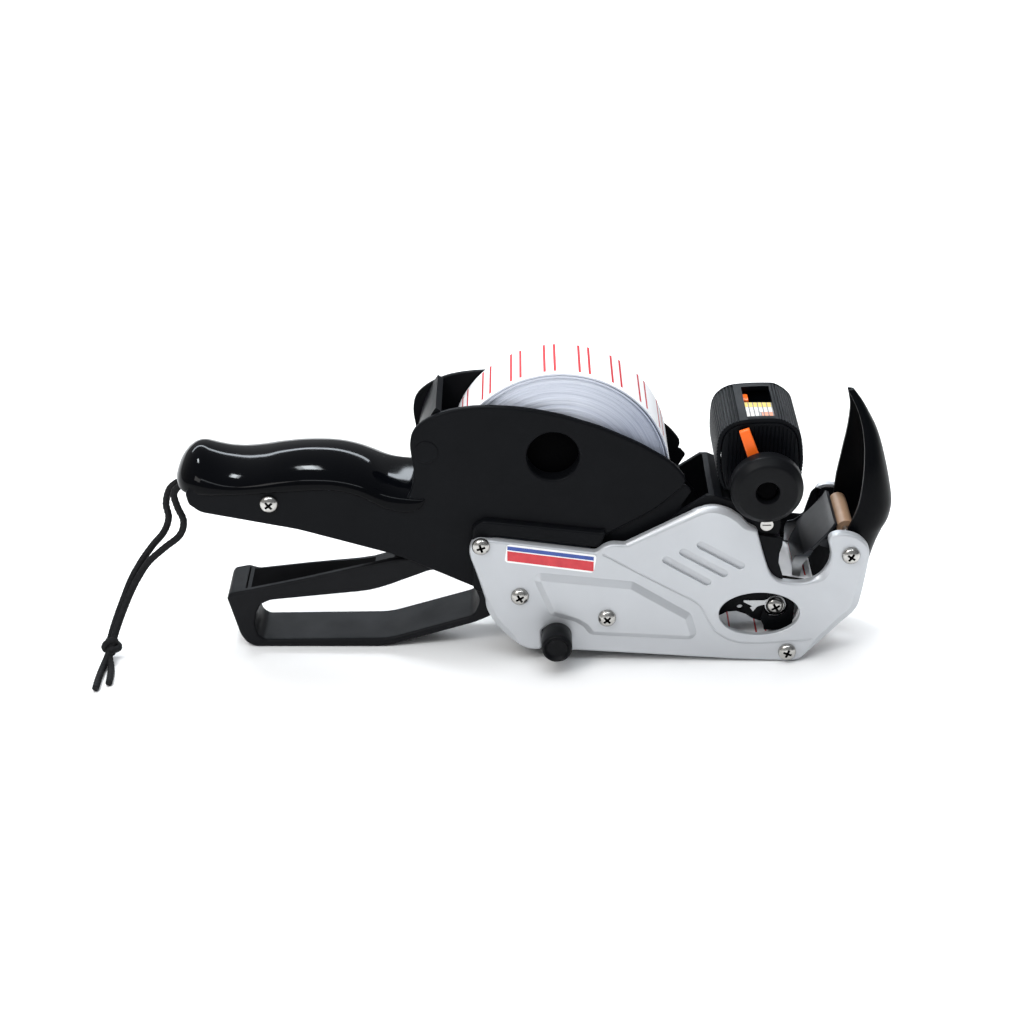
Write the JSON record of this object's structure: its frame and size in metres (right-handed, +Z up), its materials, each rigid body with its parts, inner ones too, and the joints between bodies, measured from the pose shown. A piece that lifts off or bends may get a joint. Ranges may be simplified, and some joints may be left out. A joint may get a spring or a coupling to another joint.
{
  "type": "price labeler",
  "caption": "Hand-held price labeler with a squeeze lever, swinging band print head, open label roll magazine, silver side covers, front guard and wrist cord.",
  "frame": {"origin": "centre of the bounding box of the tool without its cord, on the surface it rests on", "axes": "+X towards the label exit, +Y away from the selector knob side, +Z up"},
  "size_m": [0.2744, 0.0705, 0.1068],
  "materials": {
    "body_plastic": "satin black moulded",
    "grip_gloss": "high gloss black",
    "silver_paint": "satin silver",
    "nickel": "nickel plated",
    "steel": "bright steel",
    "label_print": "plain printed sticker",
    "knob_plastic": "matte black",
    "hood_plastic": "satin black, ribbed",
    "band_rubber": "print bands",
    "pointer_orange": "bright orange",
    "ink_felt": "inked",
    "pad_rubber": "soft",
    "brass": "plain",
    "paper": "white label tape",
    "core_card": "plain",
    "brown_roller": "brown",
    "cord": "braided"
  },
  "bodies": {
    "body": {"frame_left": "body_plastic", "frame_right": "body_plastic", "magazine_rear_wall": "body_plastic", "grip": "grip_gloss", "handle_spacer": "steel", "handle_screws": "nickel", "lanyard_pin": "steel", "side_cover_left": "silver_paint", "side_cover_right": "silver_paint", "cover_screws": "nickel", "sticker": "label_print", "hinge_pin": "steel", "lever_shaft": "steel", "lever_spring": "steel", "arm_shaft": "steel", "ink_pivot": "steel", "platen": "body_plastic", "platen_pad": "pad_rubber", "hold_down": "steel", "label_guide": "body_plastic", "feed_shaft": "steel", "feed_screws": "nickel", "feed_leaf": "steel", "pawl_pin": "steel", "strip_guide": "body_plastic", "label_strip": "paper", "front_claw": "body_plastic", "front_spacer": "steel", "applicator_axle": "steel", "lanyard_a": "cord", "lanyard_b": "cord", "lanyard_knot": "cord"},
    "bottom_door": {"bottom_cover": "body_plastic", "latch_springs": "steel"},
    "latch": {"latch_bar": "steel", "latch_knobs": "knob_plastic"},
    "lever": {"lever": "body_plastic"},
    "arm": {"print_arm": "body_plastic", "head_frame": "body_plastic", "head_hood": "hood_plastic", "head_screws": "nickel", "print_bands": "band_rubber", "band_wheels": "knob_plastic"},
    "pointer": {"pointer": "pointer_orange"},
    "knob": {"selector_shaft": "body_plastic", "selector_knob": "knob_plastic"},
    "ink_swing": {"ink_arm": "body_plastic", "ink_axle": "steel"},
    "ink_roller": {"ink_roller": "ink_felt"},
    "feed": {"feed_wheel": "pad_rubber", "ratchet": "brass"},
    "pawl": {"pawl": "brass"},
    "roll": {"label_roll": "paper", "roll_core": "core_card"},
    "applicator": {"applicator_roller": "brown_roller"}
  },
  "joints": [
    {"name": "lever_squeeze", "type": "hinge", "parent": "body", "child": "lever", "pos_m": [-0.0054, 0, 0.0265], "axis": [0, 1, 0], "range_deg": [0, 8], "stiffness_Nm_per_rad": 0.8, "springref_deg": -34.38, "deforming": ["lever_spring"]},
    {"name": "arm_swing", "type": "hinge", "parent": "body", "child": "arm", "pos_m": [0.0246, 0, 0.0189], "axis": [0, 1, 0], "range_deg": [0, 16]},
    {"name": "ink_swing_hinge", "type": "hinge", "parent": "body", "child": "ink_swing", "pos_m": [0.066, 0, 0.0506], "axis": [0, 1, 0], "range_deg": [0, 62.4]},
    {"name": "selector_slide", "type": "slide", "parent": "arm", "child": "pointer", "axis": [0, -1, 0], "range_m": [0, 0.018]},
    {"name": "knob_spin", "type": "hinge", "parent": "pointer", "child": "knob", "pos_m": [0.0765, 0, 0.0704], "axis": [0, 1, 0], "continuous": true},
    {"name": "roll_spin", "type": "hinge", "parent": "body", "child": "roll", "pos_m": [0.008, 0, 0.0696], "axis": [0, 1, 0], "continuous": true},
    {"name": "ink_roll_spin", "type": "hinge", "parent": "ink_swing", "child": "ink_roller", "pos_m": [0.0802, 0, 0.0432], "axis": [0, 1, 0], "continuous": true},
    {"name": "feed_spin", "type": "hinge", "parent": "body", "child": "feed", "pos_m": [0.0834, 0, 0.0187], "axis": [0, 1, 0], "continuous": true},
    {"name": "applicator_spin", "type": "hinge", "parent": "body", "child": "applicator", "pos_m": [0.106, 0, 0.048], "axis": [0, 1, 0], "continuous": true},
    {"name": "door_open", "type": "hinge", "parent": "body", "child": "bottom_door", "pos_m": [0.0875, 0, 0.0044], "axis": [0, -1, 0], "range_deg": [0, 60]},
    {"name": "latch_slide", "type": "slide", "parent": "bottom_door", "child": "latch", "axis": [-1, 0, 0], "range_m": [0, 0.003], "stiffness_N_per_m": 1000, "springref_m": -0.002, "deforming": ["latch_springs"]},
    {"name": "pawl_lift", "type": "hinge", "parent": "body", "child": "pawl", "pos_m": [0.0712, 0, 0.0174], "axis": [0, -1, 0], "range_deg": [0, 8], "stiffness_Nm_per_rad": 0.01, "springref_deg": -5.73}
  ],
  "couplings": [
    {"joint": "arm_swing", "follows": "lever_squeeze", "ratio": 2},
    {"joint": "ink_swing_hinge", "follows": "lever_squeeze", "ratio": 7.8}
  ]
}
